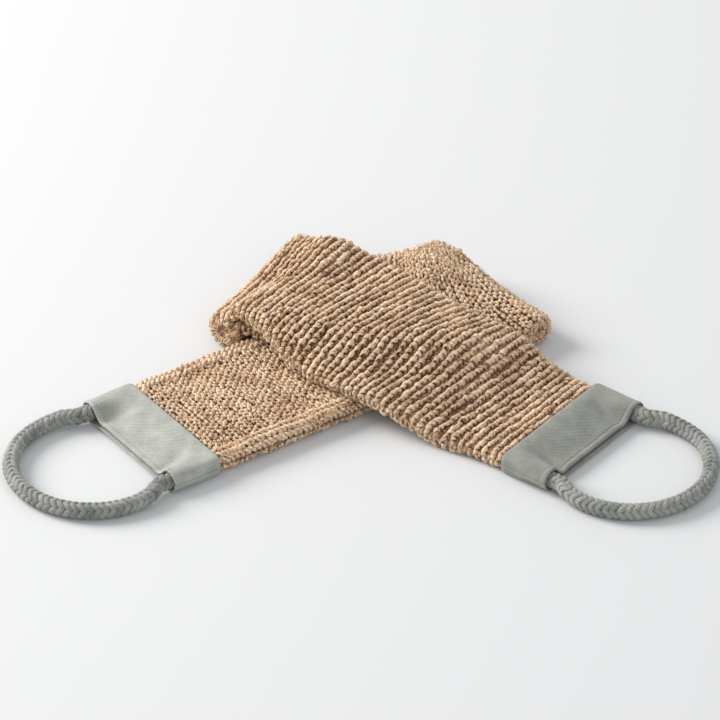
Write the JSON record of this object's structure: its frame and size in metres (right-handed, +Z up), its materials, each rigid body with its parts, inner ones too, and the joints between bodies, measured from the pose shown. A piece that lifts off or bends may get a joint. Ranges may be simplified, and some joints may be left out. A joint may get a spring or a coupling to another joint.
{
  "type": "back scrubber",
  "caption": "Long knitted natural-fibre back scrubber strap, folded and crossed, with cloth end caps and braided rope loop handles",
  "frame": {"origin": "On the floor, under the middle of the object's bounding box", "axes": "+X to the right handle's side, the longest extent; +Y to the folds at the back; +Z up"},
  "size_m": [0.4452, 0.2788, 0.0443],
  "materials": {
    "knit": "matte, coarse natural-fibre knit",
    "edge_thread": "matte natural-fibre yarn",
    "cap_cloth": "matte fine cotton cloth",
    "rope": "matte soft braided cotton",
    "rope_core": "matte cotton filler",
    "sewing_thread": "matte sewing thread"
  },
  "bodies": {
    "left_run": {"front_panel_left_run": "knit", "back_panel_left_run": "knit", "near_edge_seam_left_run": "edge_thread", "far_edge_seam_left_run": "edge_thread", "left_cap_upper": "cap_cloth", "left_cap_lower": "cap_cloth", "left_knit_stitch": "sewing_thread", "left_hem_stitch": "sewing_thread", "left_rope_tail_near": "rope", "left_rope_tail_far": "rope", "left_rope_whipping_near": "sewing_thread", "left_rope_whipping_far": "sewing_thread"},
    "middle_run": {"front_panel_middle_run": "knit", "back_panel_middle_run": "knit", "near_edge_seam_middle_run": "edge_thread", "far_edge_seam_middle_run": "edge_thread"},
    "top_run": {"front_panel_top_run": "knit", "back_panel_top_run": "knit", "near_edge_seam_top_run": "edge_thread", "far_edge_seam_top_run": "edge_thread", "right_cap_upper": "cap_cloth", "right_cap_lower": "cap_cloth", "right_knit_stitch": "sewing_thread", "right_hem_stitch": "sewing_thread", "right_rope_tail_near": "rope", "right_rope_tail_far": "rope", "right_rope_whipping_near": "sewing_thread", "right_rope_whipping_far": "sewing_thread"},
    "left_handle": {"left_rope_sheath": "rope", "left_rope_core": "rope_core"},
    "right_handle": {"right_rope_sheath": "rope", "right_rope_core": "rope_core"}
  },
  "joints": [
    {"name": "right_fold", "type": "hinge", "parent": "left_run", "child": "middle_run", "pos_m": [0.08893, 0.09865, 0.0132], "axis": [-0.682, 0.7313, 0], "range_deg": [0, 180]},
    {"name": "left_fold", "type": "hinge", "parent": "middle_run", "child": "top_run", "pos_m": [-0.0724, 0.09856, 0.0132], "axis": [-0.5373, -0.8434, 0], "range_deg": [0, 180]},
    {"name": "left_handle_swing", "type": "hinge", "parent": "left_run", "child": "left_handle", "pos_m": [-0.1496, -0.07068, 0.007], "axis": [-0.5736, 0.8191, 0], "range_deg": [0, 85]},
    {"name": "right_handle_swing", "type": "hinge", "parent": "top_run", "child": "right_handle", "pos_m": [0.15014, -0.07071, 0.007], "axis": [-0.6088, -0.7934, 0], "range_deg": [0, 85]}
  ]
}
